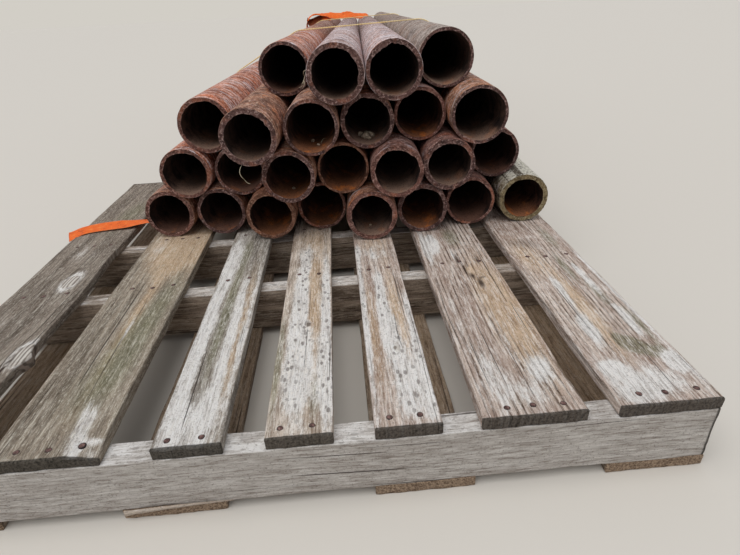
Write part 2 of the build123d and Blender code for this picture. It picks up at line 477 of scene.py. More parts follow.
def tube_profile(length):
    """Distances along the pipe and depths into the wall (0 outside, 1 bore) that go once
    round the wall's cross-section, close together near the mouths, and the zone of each:
    0 for the outside, 1 for a cut face and 2 for the bore."""
    outside, bore = (
        np.concatenate([near_mouth, np.linspace(body_start, length - body_start, steps),
                        length - near_mouth[::-1]]) for steps in (14, 8))
    face = len(across_wall)
    along = np.concatenate([outside, np.full(face, length), bore[::-1], np.zeros(face)])
    depth = np.concatenate([0 * outside, across_wall, 0 * bore + 1, across_wall[::-1]])
    zone = np.repeat([0, 1, 2, 1], [len(outside), face, len(bore), face])
    return along, depth, zone


def make_tube(name, wall, ring_share, lips, skin, face, bore, seed):
    """One pipe. A point at turn a, distance y and wall depth d lies at radius
    R - d (R - bore radius) from the axis. The bore radius eases from the mouth's own value
    to the pipe's, less a jagged lip near the mouth, and noise pits every surface. Each lip
    is an angle, a spread in degrees and a size."""
    low, high = cad_box(name)
    centre, radius, length = (low + high) / 2, (high[0] - low[0]) / 2, high[1] - low[1]
    along, depth, zone = tube_profile(length)
    turn = np.linspace(0, 2 * np.pi, ring_steps, endpoint=False)
    along, turn = np.meshgrid(along, turn, indexing="ij")
    depth = np.broadcast_to(depth[:, None], along.shape)
    side = np.stack([np.cos(turn), np.zeros_like(turn), np.sin(turn)], -1)
    from_mouth = np.minimum(along, length - along)
    near_front = along < length / 2

    share = np.where(near_front, ring_share, 0.5 * (ring_share + 1 - wall / radius))
    rim_line = side * 60
    mouth = radius * share + 0.9 * rough(rim_line + seed * 31, 22, seed)
    mouth += 0.7 * noise(rim_line, 5, seed + 13)
    ragged = 0.6 + 0.4 * noise(rim_line, 4.5, seed + 7)
    for angle, spread, size in lips:
        away = np.abs((turn - math.radians(angle) + np.pi) % (2 * np.pi) - np.pi)
        lip = size * ragged * smooth_step(spread, spread * 0.55, np.degrees(away))
        mouth -= np.where(near_front, lip, 0)
    ease = smooth_step(0, mouth_depth, from_mouth)
    bore_radius = mouth + ((radius - wall) - mouth) * ease
    reach = radius - depth * (radius - bore_radius)

    place = side * reach[..., None]
    place[..., 1] = along
    pits = rough(place + seed * 50, (16, 26, 16), seed + 3)
    fine = noise(place + seed * 50, 4.5, seed + 5)
    dent = 0.35 * np.abs(pits) + 0.25 * np.abs(fine)
    dent += smooth_step(5, 0, from_mouth) * (1.0 + 0.9 * fine)
    reach = np.where(depth == 0, reach - dent, reach)
    reach = np.where(depth == 1, reach - 0.8 * pits * (1 - 0.5 * ease), reach)
    saw = 0.8 * noise(side * radius, 26, seed + 9) + 0.9 * noise(place, 5, seed + 11)
    inset = np.where(zone[:, None] == 1, mouth_inset + saw, 0) * np.where(near_front, 1, -1)

    points = side * reach[..., None] + centre
    points[..., 1] = low[1] + along + inset
    # rim is 1 at a cut face's edges, which the cut finish paints pale, partly as a highlight.
    rim = np.maximum(smooth_step(0.22, 0, depth), smooth_step(0.78, 1, depth))
    return add_piece(
        f"{name}_rusted", points.reshape(-1, 3), grid_quads(*along.shape, rows_close=True),
        (skin, face, bore), "rusted_iron", name,
        {"low": -np.sin(turn).ravel(), "deep": from_mouth.ravel(), "rim": rim.ravel()},
        np.repeat(zone, ring_steps))


# %% [markdown]
# The next table holds what the picture shows of each mouth: how wide the bore is as a
# share of the pipe, where slag hangs in it, and the tones of the skin, the cut and the
# bore. The rows run from the deck up, and each row's pipes from the left.

# %% Make the pipes
heavy_wall = 8.56
thicker_wall = 11.13
row_looks = {
    "bottom_row": [
        (0.83, (), "brown", "red", "dark"),
        (0.85, ((60, 50, 1.5),), "brown", "plum", "dark"),
        (0.83, (), "orange", "orange", "orange"),
        (0.88, (), "brown", "red", "orange"),
        (0.82, ((160, 60, 2.0), (20, 40, 1.5)), "orange", "red", "tan"),
        (0.84, ((110, 60, 1.5),), "pink", "plum", "orange"),
        (0.87, (), "pink", "red", "dark"),
        (0.805, (), "olive", "olive", "orange")],
    "second_row": [
        (0.85, (), "red", "red", "tan"),
        (0.87, (), "brown", "plum", "dark"),
        (0.82, ((150, 40, 2.0),), "brown", "plum", "orange"),
        (0.90, (), "orange", "orange", "orange"),
        (0.82, ((70, 30, 2.0),), "pink", "red", "tan"),
        (0.81, ((100, 42, 3.0),), "pink", "plum", "tan"),
        (0.86, (), "pink", "plum", "dark")],
    "third_row": [
        (0.84, ((40, 30, 1.5),), "red", "red", "tan"),
        (0.80, ((50, 40, 2.0),), "brown", "plum", "tan"),
        (0.87, (), "brown", "plum", "orange"),
        (0.84, ((135, 32, 3.5), (75, 20, 2.0)), "brown", "plum", "tan"),
        (0.87, ((100, 30, 1.2),), "pink", "red", "orange"),
        (0.88, ((250, 26, 2.0),), "ochre", "plum", "tan")],
    "top_row": [
        (0.86, ((-25, 16, 2.5),), "red", "plum", "dark"),
        (0.81, ((12, 42, 3.5),), "lilac", "plum", "tan"),
        (0.83, ((118, 24, 3.5), (80, 14, 2.5)), "lilac", "plum", "tan"),
        (0.89, (), "grey", "plum", "tan")],
}
pipe_looks = {f"{row}_pipe_{number}": look for row, looks in row_looks.items()
              for number, look in enumerate(looks, 1)}
skin_streaks = {"lilac": 0.95, "red": 0.8, "grey": 0.15, "brown": 0.25}
# How far each tone's painted sky reflection fades into plain rust behind the mouth.
painted_sheen_fades = {"ochre": 0.85, "red": 0.85, "lilac": 0.7, "grey": 0.3, "olive": 0.3}
# Thin dark lines round the top row's fourth pipe, in metres along it.
dark_ring_places = {"top_row_pipe_4": (-0.86, -0.1)}
thicker_pipe = "bottom_row_pipe_8"
for seed, (name, look) in enumerate(pipe_looks.items(), 1):
    ring_share, lips, skin, face, bore = look
    outside = pipe_skin(skin, seed, skin_streaks.get(skin, 0.4), dark_ring_places.get(name, ()),
                        painted_sheen_fades.get(skin, 0.6), 0.9 if skin == "olive" else 0.0)
    make_tube(name, thicker_wall if name == thicker_pipe else heavy_wall, ring_share, lips,
              outside, cut_face(face, seed), pipe_bore(bore, seed), seed)
print(f"{len(pipe_looks)} pipes")

# %% [markdown]
# ## Weathered wood
# A sawn board is a slice through a tree. If each point knows its distance from the tree's
# middle, the same number draws arcs on the board's end and arches or lines on its face.
# That number is stored on the mesh as an attribute, with knots as local swirls. Sun and
# rain then leave grey and white streaks, black mildew, green moss and brown stains, and
# these are soft spots that the recipe breaks up along the grain.

# %% Wood finish
dark_sawn = ((34, 32, 29), (84, 78, 70))
fresh_sawn = ((104, 84, 68), (178, 154, 130))


def weathered_wood(name, seed, tones, lines=0.5, line_gap=7.0, flecks=0.7,
                   fleck_size=(0.42, 0.075), mildew=1.0, ridges=0.55, cut=dark_sawn):
    """Weathered board. tones are its dark, middle and light wood. lines is how strongly
    the rings draw lines, one every line_gap millimetres. flecks and ridges are the short
    broken grain and the long combed grain, mildew is the dark dots, and cut the two tones
    of a sawn end. Two attributes of the mesh place the rest: care holds how bleached,
    mossy and warm each point is, and wear its stain, knot and end."""
    dark, middle, light = paints(tones)
    r = Recipe(name)
    ring, along, lane = (r.attribute(key) for key in ("ring", "along", "lane"))
    bleached, moss, warm = r.split(r.attribute("care", "Vector"))[:3]
    stain, knot, end = r.split(r.attribute("wear", "Vector"))[:3]

    def grain(side_step, long_step, shift, detail=4, roughness=0.6):
        lanes = r.join(r.times(lane, side_step), r.times(along, long_step), seed + shift)
        return r.grains(lanes, 1.0, detail, roughness)

    def darken(share, colour, red, green, blue):
        return r.mix(share, colour, (red, green, blue, 1), "MULTIPLY")

    def share(*parts):
        total = r.times(*parts[0])
        for part in parts[1:]:
            total = r.plus(total, r.times(*part))
        return total

    band = grain(0.075, 0.0022, 0.0, 5)
    cloud = grain(0.022, 0.006, 9.0)
    fleck = grain(*fleck_size, 5.0, 6, 0.82)
    fibre = grain(0.95, 0.028, 13.0, 3)
    streak = grain(0.2, 0.011, 17.0, 5, 0.72)
    ridge = grain(0.3, 0.026, 25.0, 4, 0.78)
    blot = grain(0.06, 0.016, 21.0, 6, 0.68)
    pit = r.grains(r.place(), 330, 3, 0.7)

    colour = r.mix(r.between(share((band, 0.6), (cloud, 0.4)), 0.4, 0.6), dark, middle)
    tan = r.between(share((warm, 1.0), (cloud, 0.4), (streak, 0.6)), 0.55, 1.3)
    tan_shades = r.mix(band, paint(180, 146, 112), paint(246, 218, 184))
    colour = r.layer(colour, tan, 0.8, tan_shades)
    green = r.between(share((moss, 1.0), (fleck, 0.5)), 0.55, 1.05)
    green_shades = r.mix(cloud, paint(96, 95, 72), paint(172, 168, 138))
    colour = r.layer(colour, green, 0.75, green_shades)
    colour = darken(r.times(r.between(fibre, 0.47, 0.38), 0.7), colour, 0.62, 0.58, 0.54)

    wash = r.between(share((blot, 0.5), (bleached, 0.5)), 0.34, 0.7)
    colour = r.layer(colour, wash, 0.7, paint(238, 231, 224))
    flake = r.between(share((fleck, 0.5), (blot, 0.4), (bleached, 0.4)), 0.6, 0.71)
    white = r.mix(r.between(fibre, 0.35, 0.6), paint(226, 220, 215), paint(252, 250, 247))
    colour = r.layer(colour, flake, 0.9, white)

    phase = r.times(share((ring, 1.0), (band, 9.0)), 2 * math.pi / line_gap)
    late = r.between(r.math("SINE", phase), 0.1, 0.95)
    late = r.times(late, r.between(cloud, 0.35, 0.6))
    late = r.times(late, r.between(warm, 1.0, 0.35))
    shown = r.times(late, r.less(lines, r.times(flake, lines * 0.45)))
    colour = darken(shown, colour, 0.26, 0.2, 0.16)
    colour = r.layer(colour, r.between(fleck, 0.53, 0.62), flecks, light)
    bare = r.less(flecks, r.times(flake, flecks * 0.4))
    colour = darken(r.times(r.between(fleck, 0.45, 0.36), bare), colour, 0.3, 0.25, 0.21)
    colour = darken(r.times(r.between(streak, 0.46, 0.36), 0.5), colour, 0.45, 0.4, 0.36)
    colour = r.layer(colour, r.between(streak, 0.56, 0.66), 0.55, light)
    crest = r.times(r.between(ridge, 0.5, 0.58), r.between(blot, 0.4, 0.56))
    colour = r.layer(colour, crest, ridges, light)
    furrow = r.times(r.between(ridge, 0.48, 0.4), r.between(blot, 0.62, 0.46))
    colour = darken(r.times(furrow, ridges), colour, 0.4, 0.34, 0.29)
    colour = darken(r.times(r.between(pit, 0.45, 0.34), 0.6), colour, 0.4, 0.37, 0.34)

    spot = r.cells(r.join(r.times(lane, 0.105), r.times(along, 0.06), seed + 3.0), 1.0)
    dots = r.times(r.between(share((spot, 1.0), (fleck, 0.45)), 0.57, 0.45), wash)
    dots = r.times(dots, r.between(cloud, 0.38, 0.5))
    colour = r.layer(colour, dots, 0.8 * mildew, paint(128, 119, 113))
    crack = r.between(grain(0.21, 0.0019, 7.0, 2, 0.5), 0.665, 0.69)
    colour = r.layer(colour, crack, 0.8, paint(56, 46, 40))
    knot_light = r.mix(bleached, paint(134, 106, 88), paint(214, 207, 198))
    knot_dark = r.mix(bleached, paint(70, 52, 42), paint(150, 140, 130))
    swirl = r.mix(r.between(r.math("SINE", phase), -0.2, 0.7), knot_light, knot_dark)
    colour = r.mix(r.between(share((knot, 1.0), (fleck, 0.2)), 0.3, 0.9), colour, swirl)
    stained = r.between(share((stain, 1.0), (cloud, 0.3)), 0.25, 1.0)
    colour = r.mix(stained, colour, paint(66, 52, 45))
    sawn = r.mix(r.between(pit, 0.35, 0.65), *paints(cut))
    colour = r.layer(colour, end, 0.9, darken(crack, sawn, 0.3, 0.3, 0.3))
    height = share((fleck, 1.5), (ridge, 0.8), (pit, 0.5), (fibre, 0.5))
    height = r.less(r.less(height, r.times(late, lines)), r.times(crack, 1.5))
    r.bump(height, 0.0018, 0.9)
    return r.finish(colour, 0.9, 0.18)


# %% [markdown]
# A bevel would round every edge of a board alike, but real edges wear unevenly. So a
# plank starts as a closed grid over a sharp box, and each point is drawn in towards a
# rounded one. Then the grain sinks into its faces and its ends are made ragged. The pallets
# lie a little askew under the pile, so every board is turned by the same small angle.

# %% Plank shape
pallet_yaw = math.radians(2.76)
along_pallet = np.array([math.cos(pallet_yaw), math.sin(pallet_yaw), 0])
into_pallet = np.array([-math.sin(pallet_yaw), math.cos(pallet_yaw), 0])
upward = np.array([0, 0, 1.0])
plank_end = np.array([0, 1.5, 3, 6])
cap_shrink = np.array([0.25, 0.5, 0.72, 0.88, 0.96])
corner_radius = 1.5
end_zone = 4
nail_dent = 1.15
nail_dent_reach = 9


def perimeter(width, height, step):
    """Points round a sharp rectangle, closer together near its corners."""
    def side(length):
        reach = length / 2
        inset, count = (4, 3) if length < 24 else (6, max(2, round((length - 12) / step) + 1))
        inner = np.linspace(inset - reach, reach - inset, count)
        return np.concatenate([[-reach, 1.5 - reach, 3 - reach], inner,
                               [reach - 3, reach - 1.5]])

    across, rise = side(width), side(height)
    top = np.stack([across, np.full(len(across), height / 2)], -1)
    right = np.stack([np.full(len(rise), width / 2), -rise], -1)
    return np.concatenate([top, right, -top, -right])


def sharp_box(width, length, thick, step):
    """The points and quads of a box: rings along it, closer together near its ends, then
    smaller rings and a pole that close each end."""
    outline = perimeter(width, thick, step)
    inner = np.linspace(11, length - 11, max(8, round(length / step / 1.6)))
    body = np.concatenate([plank_end, inner, length - plank_end[::-1]])
    along = np.pad(body, len(cap_shrink), mode="edge")[:, None]
    shrink = np.concatenate([cap_shrink, np.ones(len(body)), cap_shrink[::-1]])[:, None]
    rings = xyz(outline[:, 0] * shrink, along - length / 2, outline[:, 1] * shrink)
    poles = [[0, -length / 2, 0], [0, length / 2, 0]]
    return np.concatenate([rings.reshape(-1, 3), poles]), capped_quads(*rings.shape[:2])


def make_plank(node, seed, size, finish, pith, spots, knots=(), edges=(), worn=(),
               nails=(), step=5.0, across=False):
    """A weathered board. size is width, length and thickness, and places on the board are
    distances from its left edge and its front end. Each point of the sharp box is drawn in
    by inner + r d / |d|, where inner is the point clipped to a box smaller by r on each
    side and d the rest, and r varies along the edges. The ring number is the distance from
    the pith, a leaning line given by its place and its slopes. spots holds soft spots by
    kind: a place, two spreads and an amount. edges are bulges of a side, worn are corners
    that have been rubbed down, and across turns the board to lie along x."""
    material = weathered_wood(f"wood_{seed}", seed, **finish)
    width, length, thick = size
    half_width, half_thick = width / 2, thick / 2
    low, high = cad_box(node)
    sharp, quads = sharp_box(width, length, thick, step)
    radius = corner_radius + 1.2 * rough(sharp, (40, 55, 40), seed)
    radius = np.clip(radius, 0.6, half_thick - 1)[:, None]
    inner_half = np.array(size) / 2 - radius
    inner = np.clip(sharp, -inner_half, inner_half)
    rest = sharp - inner
    distance = np.linalg.norm(rest, axis=1, keepdims=True)
    points = inner + np.where(distance > 1e-6, rest / np.maximum(distance, 1e-6) * radius, 0)

    # a and h are views of the points and follow every push. l is a copy, from 0 to length.
    a, l, h = points.T
    l = l + length / 2
    at_end = np.abs(l - length / 2) > length / 2 - end_zone
    on_top = np.abs(h) > half_thick - 2.5
    grain = rough(xyz(a, l / 14, seed), 7, seed + 2)
    sink = np.where(on_top & ~at_end, 0.35 + 0.45 * grain, 0)
    for place_a, place_l in nails:
        away = np.hypot(a + half_width - place_a, l - place_l) / nail_dent_reach
        sink = np.where(h > 0, np.maximum(sink, nail_dent * np.exp(-away**4)), sink)
    points[:, 2] -= np.sign(h) * np.clip(sink, 0, 1.2)
    near_side = smooth_step(0.8, 1, np.abs(a) / half_width)
    side_wave = 1.0 + 0.9 * rough(xyz(np.sign(a) * 50, l, 0), (30, 90, 30), seed + 4)
    points[:, 0] -= np.sign(a) * np.clip(side_wave, 0, 3) * near_side
    ragged = 0.9 + 0.9 * rough(xyz(a, h, seed), 9, seed + 6)
    points[:, 1] -= np.where(at_end, np.sign(l - length / 2) * np.clip(ragged, 0, 3), 0)
    for toward, place, spread, bulge in edges:
        share = smooth_step(0.2, 1, toward * a / half_width)
        points[:, 0] += toward * bulge * share * np.exp(-(((l - place) / spread) ** 2))
    for toward, place, reach_across, reach_along, drop in worn:
        away = np.hypot((half_width - toward * a) / reach_across, (l - place) / reach_along)
        points[:, 2] -= drop * np.clip(1 - away, 0, 1) * smooth_step(-half_thick, half_thick, h)

    pith_across, pith_rise, lean_across, lean_rise = pith
    ring = np.hypot(a - pith_across - lean_across * l, h - pith_rise - lean_rise * l)
    ring += 3.5 * noise(xyz(a, l, h), (60, 260, 60), seed + 8)
    painted = dict.fromkeys(("bleached", "moss", "warm", "stain", "knot"), 0 * a)
    facing_up = np.where(h > half_thick - 3, 1.0, 0.35)
    for kind, places in spots.items():
        for place_a, place_l, spread_a, spread_l, amount in places:
            beside, beyond = (a + half_width - place_a) / spread_a, (l - place_l) / spread_l
            soft = np.exp(-(beside**2 + beyond**2))
            painted[kind] = painted[kind] + amount * soft * facing_up
    inside = at_end | (np.abs(a) < half_width - 4)
    lane = np.where(inside, a, a + np.sign(a) * (half_thick - h))
    lane = lane + 5 * noise(xyz(a, l, 0), (70, 260, 60), seed + 10)
    for place_a, place_l, knot_size in knots:
        beside, beyond = a + half_width - place_a, (l - place_l) * 0.55
        away = np.hypot(beside, beyond) / knot_size
        lane -= beside / (away**2 + 0.4)
        ring += 16 * np.exp(-(away / 2.4) ** 2)
        painted["knot"] = painted["knot"] + smooth_step(1.25, 0.7, away)

    care = xyz(painted["bleached"], painted["moss"], painted["warm"])
    wear = xyz(painted["stain"], painted["knot"], np.where(at_end, 1.0, 0.0))
    if across:
        points = xyz(points[:, 1], -points[:, 0], points[:, 2])
    turned = points @ np.stack([along_pallet, into_pallet, upward])
    return add_piece(
        f"{node}_wood", turned + (low + high) / 2, quads, (material,), "weathered_wood", node,
        {"ring": ring, "along": l, "lane": lane, "care": care, "wear": wear})


# %% [markdown]
# Each nail dents its board and darkens the wood round it, partly a rust stain and partly
# painted shade in the dent, so the boards have to know where the nails are. The front two
# rows stand where the picture shows them. The others follow the stringers below, moved a
# little by a sine so that they don't line up.

# %% Where the nails are
wide, narrow = 139.7, 88.9
nail_line = {wide: (34, 72, 114), narrow: (21, 63)}
stringer_middles = (19.0, 428.0, 662.0, 1124.0)
seen_nails = {
    1: {2: ((33, 19), (73, 18), (113, 21)), 3: ((18, 16), (61, 17)),
        4: ((20, 20), (61, 20)), 5: ((22, 22), (62, 22)),
        6: ((37, 20), (72, 21), (112, 19)), 7: ((36, 24), (71, 23), (116, 25))},
    2: {2: ((36, 430), (76, 427), (115, 433)), 3: ((21, 434), (63, 438)),
        4: ((24, 436), (63, 433)), 5: ((25, 434), (65, 437)),
        6: ((37, 436), (73, 440), (113, 435)), 7: ((34, 437), (70, 433), (115, 436))},
}


def nail_places(pallet, number, width):
    """Where a board's nails are, as distances from its left edge and its front end. A nail
    that the picture doesn't show wanders by up to 3 mm across and 4 mm along."""
    for row, middle in enumerate(stringer_middles, 1):
        seen = seen_nails.get(row, {}).get(number) if pallet == "near" else None
        yield from seen or [(a + 3 * math.sin(7 * number + row + a),
                             middle + 4 * math.sin(3 * number + 2 * row + a))
                            for a in nail_line[width]]


# %% [markdown]
# Every board of the near deck has its own wood and its own spots, listed from the left
# board to the right one. A spot is a place, two spreads and an amount. That is quicker to
# correct than a painted image, and it stays sharp at any distance. The far deck, the
# stringers and the bottom boards share plainer woods.

# %% Make the boards
board_length, board_thick = 1143.0, 17.5
deck_widths = (wide, wide, narrow, narrow, narrow, wide, wide)
stringer_size = (38.0, board_length, 87.0)
umber_wood = ((114, 102, 91), (158, 145, 132), (220, 212, 198))
brown_wood = ((124, 112, 98), (176, 162, 145), (236, 228, 212))
grey_wood = ((136, 127, 117), (184, 175, 164), (232, 226, 217))
pink_wood = ((180, 156, 142), (228, 210, 197), (250, 242, 235))
tan_wood = ((174, 155, 138), (226, 210, 194), (250, 242, 232))
silver_wood = ((182, 174, 167), (204, 198, 192), (226, 221, 215))
shade_wood = ((112, 97, 84), (170, 152, 135), (204, 188, 170))
coarse = (0.52, 0.085)
deck_looks = {
    1: dict(
        tones=umber_wood, lines=0.35, ridges=0.25, fleck_size=coarse, flecks=0.75,
        pith=(-160, -60, 0, 0.01), knots=[(98, 479, 15), (134, 230, 17)],
        edges=[(1, 223, 16, 12), (1, 596, 60, -4), (1, 415, 50, 4)],
        spots=dict(
            bleached=[
                (98, 479, 18, 44, 1.2), (134, 230, 22, 40, 1.2), (60, 620, 40, 60, 0.4),
                (40, 330, 40, 60, 0.3)],
            moss=[
                (70, 760, 60, 260, 0.4), (100, 880, 40, 120, 0.4)],
            stain=[
                (70, 560, 60, 200, 0.1), (119, 176, 2.5, 60, 1.3), (128, 120, 3, 50, 1.0)])),
    2: dict(
        tones=brown_wood, lines=0.2, ridges=0.3, fleck_size=coarse, flecks=0.7, mildew=0.2,
        pith=(60, -120, 0.02, 0.01), worn=[(1, 0, 42, 34, 9)],
        spots=dict(
            bleached=[
                (30, 610, 26, 120, 0.4), (100, 60, 16, 60, 0.7), (80, 280, 3.5, 60, 0.7),
                (126, 10, 20, 20, 1.4)],
            moss=[
                (96, 240, 34, 150, 0.7), (120, 420, 30, 160, 0.5), (60, 120, 70, 120, 0.4)],
            warm=[
                (90, 600, 60, 130, 1.0), (90, 700, 70, 130, 1.0), (78, 300, 12, 200, 0.8)])),
    3: dict(
        tones=grey_wood, lines=0.3, mildew=0.25, pith=(-70, -60, 0.02, 0),
        spots=dict(
            bleached=[
                (14, 240, 14, 280, 1.0), (60, 230, 10, 260, 1.0), (82, 250, 7, 280, 0.7),
                (40, 40, 36, 60, 0.7), (20, 540, 20, 140, 0.6)],
            moss=[
                (40, 330, 12, 260, 0.9), (44, 580, 40, 80, 0.4)],
            warm=[(72, 250, 14, 260, 0.7)])),
    4: dict(
        tones=tan_wood, lines=0.4, pith=(-10, -90, 0, -0.03), knots=[(48, 252, 5)],
        spots=dict(
            bleached=[
                (32, 330, 16, 150, 1.0), (38, 130, 26, 120, 1.0), (78, 330, 10, 200, 0.9),
                (80, 100, 10, 110, 0.9), (40, 520, 30, 80, 0.5)],
            moss=[
                (44, 560, 44, 90, 0.35), (62, 80, 12, 60, 0.8), (6, 160, 8, 160, 0.9)],
            warm=[
                (56, 300, 14, 240, 0.9), (44, 600, 44, 130, 0.5)])),
    5: dict(
        tones=pink_wood, lines=0.45, mildew=0.9, pith=(70, -80, 0, 0.03),
        knots=[(50, 168, 5)],
        spots=dict(
            bleached=[
                (40, 330, 12, 120, 0.9), (44, 210, 16, 70, 1.0), (56, 80, 22, 80, 1.0),
                (82, 180, 8, 200, 0.9), (6, 260, 7, 280, 0.9), (44, 510, 50, 50, 0.5)],
            moss=[(44, 520, 50, 60, 0.35)],
            warm=[
                (62, 250, 14, 200, 0.8), (18, 220, 12, 160, 0.7), (44, 560, 44, 80, 0.5)],
            stain=[(20, 350, 12, 90, 0.15)])),
    6: dict(
        tones=pink_wood, lines=1.0, mildew=0.1, line_gap=9.0, flecks=0.5,
        pith=(96, -24, 0.01, 0.045), edges=[(1, 93, 9, -4), (1, 72, 7, -3)],
        spots=dict(
            bleached=[
                (34, 530, 14, 60, 1.1), (14, 500, 8, 90, 0.9), (66, 470, 4, 36, 0.9),
                (108, 96, 22, 36, 0.7), (60, 40, 60, 60, 0.5), (24, 240, 14, 120, 0.45),
                (40, 120, 20, 60, 0.4), (78, 200, 12, 80, 0.5)],
            moss=[
                (80, 560, 26, 70, 0.8), (60, 30, 50, 26, 0.45)],
            warm=[
                (108, 260, 36, 190, 1.1), (84, 397, 6, 12, 1.3)],
            stain=[
                (92, 344, 6, 20, 0.85), (83, 374, 5, 12, 0.8), (76, 402, 3.5, 22, 0.8),
                (70, 450, 3.5, 26, 0.7), (102, 366, 7, 5, 0.6), (109, 440, 3.5, 34, 0.6),
                (112, 540, 3.5, 50, 0.5), (60, 640, 50, 50, 0.3)])),
    7: dict(
        tones=pink_wood, lines=0.7, mildew=0.3, line_gap=7.0, pith=(150, -70, 0.02, -0.02),
        spots=dict(
            bleached=[
                (108, 345, 7, 70, 1.1), (112, 190, 9, 60, 1.0), (134, 300, 5, 240, 0.8),
                (121, 84, 11, 20, 1.5), (26, 76, 18, 22, 0.9), (46, 300, 9, 60, 0.9),
                (40, 172, 14, 50, 1.0), (70, 44, 60, 40, 0.75), (30, 20, 26, 20, 0.6)],
            moss=[
                (84, 126, 20, 24, 1.3), (110, 104, 16, 16, 1.0), (70, 146, 8, 16, 0.9),
                (88, 380, 10, 70, 0.9), (106, 280, 9, 60, 0.9), (124, 180, 8, 70, 0.9),
                (110, 520, 18, 90, 0.7)],
            warm=[
                (60, 240, 16, 150, 0.9), (30, 440, 26, 90, 0.7)],
            stain=[
                (26, 102, 26, 4, 0.3), (97, 243, 9, 90, 0.22), (68, 156, 6, 24, 0.3),
                (66, 493, 20, 40, 0.28), (30, 500, 26, 30, 0.4), (40, 640, 40, 60, 0.3)])),
}
plain_look = dict(tones=grey_wood, lines=0.5, pith=(40, -70, 0.01, 0.02))
finish_keys = ("tones", "lines", "line_gap", "flecks", "fleck_size", "mildew", "ridges")
# The dark ring round each nail: partly rust stain, partly painted shade in its dent.
nail_stain_and_shade = (6, 7, 0.3)
for pallet, seed_base in (("near", 0), ("far", 40)):
    near = pallet == "near"
    for number, width in enumerate(deck_widths, 1):
        look = dict(deck_looks[number] if near else plain_look)
        nails = list(nail_places(pallet, number, width))
        spots = dict(look.pop("spots", {}))
        spots["stain"] = spots.get("stain", []) + [(*nail, *nail_stain_and_shade) for nail in nails]
        finish = {key: look.pop(key) for key in finish_keys if key in look}
        make_plank(f"{pallet}_pallet_deck_board_{number}", seed_base + number,
                   (width, board_length, board_thick), finish, spots=spots, nails=nails,
                   step=5.0 if near else 10.0, **look)
    for number in range(1, 5):
        tones = silver_wood if number == 1 else shade_wood
        make_plank(f"{pallet}_pallet_stringer_{number}", seed_base + 10 + number, stringer_size,
                   dict(tones=tones, lines=0.12, line_gap=11.0, flecks=0.35,
                        fleck_size=(0.3, 0.02)),
                   (10, -260, 0, 0.02), dict(bleached=[(19, 570, 60, 900, 0.55)]),
                   step=6.0 if near else 12.0, across=True)
        make_plank(f"{pallet}_pallet_bottom_board_{number}", seed_base + 20 + number,
                   (wide, board_length, board_thick), dict(tones=shade_wood, cut=fresh_sawn),
                   (15, -70, 0, 0.01), dict(warm=[(70, 500, 90, 900, 0.7)]),
                   step=8.0 if near else 12.0)
print("30 boards")

# %% [markdown]
# ## Nails
# Each deck board is nailed down over every stringer, three nails in a wide board and two
# in a narrow one. A real head is punched from wire and driven a little below the surface,
# so it is a low dome in a dent, and the dark ring of the dent round it is painted shade.
# All heads of a pallet are one mesh. The front two rows are placed where the picture shows
# them.

# %% Nail heads
def rust_specks(name, tones, scale=220):
    """Plain rust for small pieces: three tones mixed by one fine noise, and a rim painted
    dark as shade.
    """
    dark, middle, pale = paints(tones)
    r = Recipe(name)
    fine = r.grains(r.place(), scale, 4, 0.7)
    colour = r.mix(r.between(fine, 0.4, 0.56), dark, middle)
    colour = r.mix(r.between(fine, 0.56, 0.68), colour, pale)
    # Painted shade: the rim is darkened as the gap round a sunk head.
    colour = r.mix(r.attribute("rim"), colour, paint(36, 26, 24))
    r.bump(fine, 0.001, 0.8)
    return r.finish(colour, 0.7, 0.35)


nail_radius = 4.9
nail_sides = 14
nail_sunk = 0.3
nail_foot = -3.2
nail_share = np.array([0.35, 0.62, 0.78, 1.0, 1.0, 0.6])[:, None]
nail_height = np.array([-0.06, -0.22, -0.5, -0.75, -2.6, -3.0])[:, None]
# The rim's rings get the painted shade of the gap round the head.
nail_rim_shade = [0.0, 0.1, 0.8, 1.0, 1.0, 1.0]


def make_nails(pallet, material):
    """Low domes: rings at a share of the radius and a height each, down to a hidden foot,
    with a pole at each end. The rim's rings are painted dark, as the shade in the gap round
    the head."""
    rim = np.append(np.repeat(nail_rim_shade, nail_sides), [0.0, 1.0])
    turn = np.linspace(0, 2 * np.pi, nail_sides, endpoint=False)
    reach = nail_radius * nail_share
    rings = xyz(np.cos(turn) * reach, np.sin(turn) * reach, nail_height)
    head = np.concatenate([rings.reshape(-1, 3), [[0, 0, 0], [0, 0, nail_foot]]])
    faces = capped_quads(len(nail_share), nail_sides)
    heads = []
    for number, width in enumerate(deck_widths, 1):
        low, high = cad_box(f"{pallet}_pallet_deck_board_{number}")
        for a, l in nail_places(pallet, number, width):
            centre = (low + high) / 2
            centre += (a - width / 2) * along_pallet + (l - board_length / 2) * into_pallet
            centre[2] = high[2] - nail_sunk
            heads.append((head + centre, faces))
    add_piece(f"{pallet}_pallet_nails", *joined(heads), (material,), "rusted_iron",
              attributes={"rim": np.tile(rim, len(heads))})
    return len(heads)


nail_rust = rust_specks("nail_rust", ((74, 52, 48), (116, 86, 80), (166, 136, 128)))
nail_count = sum(make_nails(pallet, nail_rust) for pallet in ("near", "far"))
print(f"{nail_count} nails")

# %% [markdown]
# ## Twine
# The two loops are baling twine of two strands. Pulled tight round a pile, a loop is the
# pile's convex outline: for each direction, the pipe that reaches farthest that way touches
# it. Along this line the two strands wind round each other, half a turn apart.

# %% Twine loops
twine_reach = 2.3
strand_radius = 1.15
strand_offset = 0.9
twist_pitch = 16.0
strand_sides = 6


def pipe_circle(name):
    """A pipe's centre across the pile and its radius: x, z, radius."""
    low, high = cad_box(name)
    return (low[0] + high[0]) / 2, (low[2] + high[2]) / 2, (high[0] - low[0]) / 2


